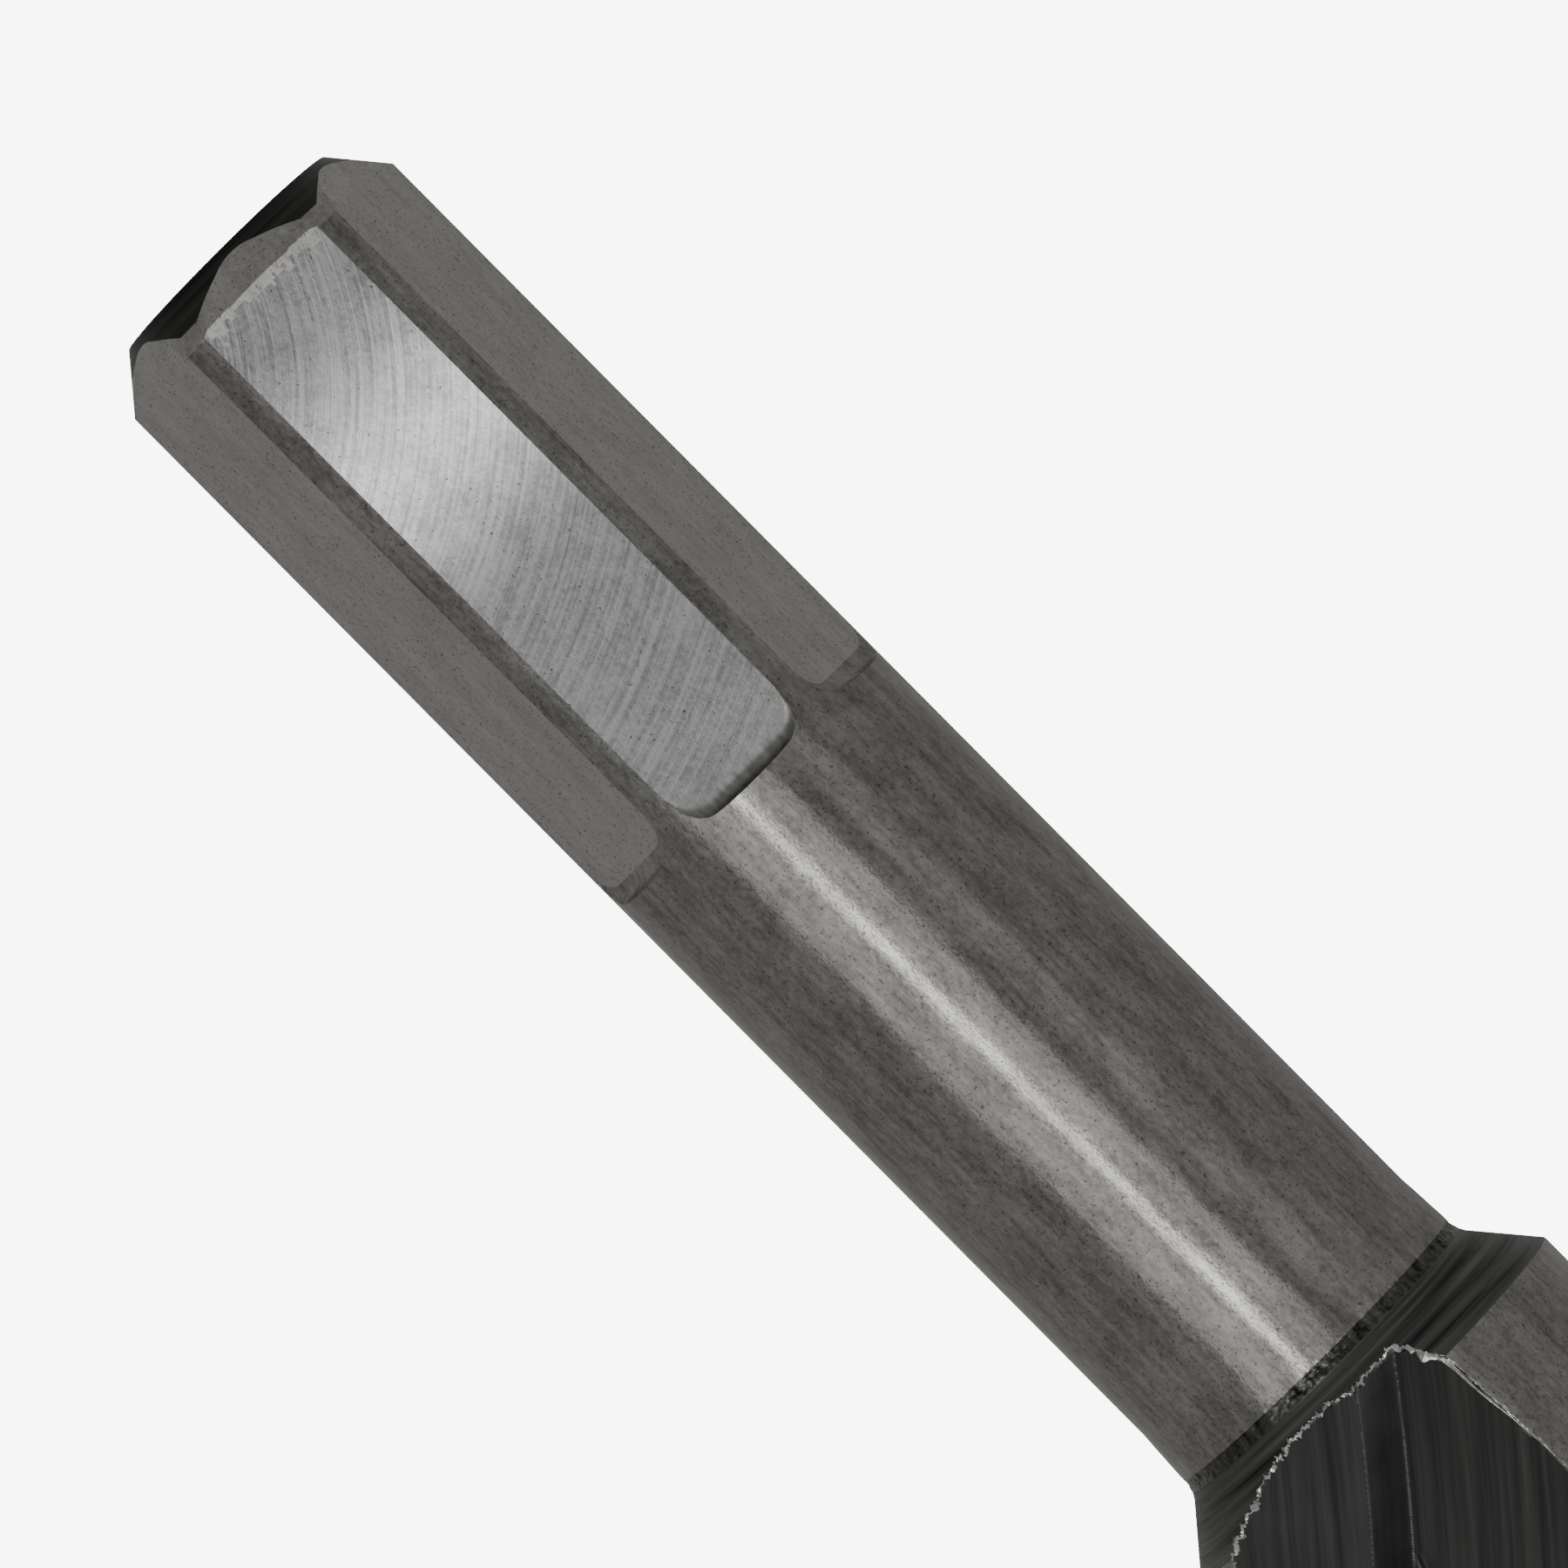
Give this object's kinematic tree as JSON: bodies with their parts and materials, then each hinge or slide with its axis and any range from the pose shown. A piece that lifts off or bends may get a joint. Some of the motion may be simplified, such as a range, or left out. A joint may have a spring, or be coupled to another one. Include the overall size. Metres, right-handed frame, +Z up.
{
  "type": "masonry drill bit",
  "caption": "Hex-shank masonry drill with a plain neck, a cone shoulder, a fast-spiral fluted body and a brazed cross-shaped carbide head.",
  "frame": {"origin": "middle of the tool's length, on the ground plane it rests on, straight below the axis", "axes": "+X along the axis from the shank end to the carbide point, +Z up with one hex flat facing almost straight up, +Y to the left when looking along +X"},
  "size_m": [0.16, 0.0164, 0.0164],
  "materials": {
    "shank_steel": "black-grey mill skin with bright milled flats",
    "body_steel": "dark machined flutes and mottled lands",
    "carbide": "ground sintered carbide, dull grey",
    "braze": "flowed braze alloy"
  },
  "bodies": {
    "root": {"hex_shank": "shank_steel", "fluted_body": "body_steel", "main_cutter": "carbide", "side_cutter_1": "carbide", "side_cutter_2": "carbide", "main_braze": "braze", "side_braze_1": "braze", "side_braze_2": "braze"}
  },
  "joints": []
}
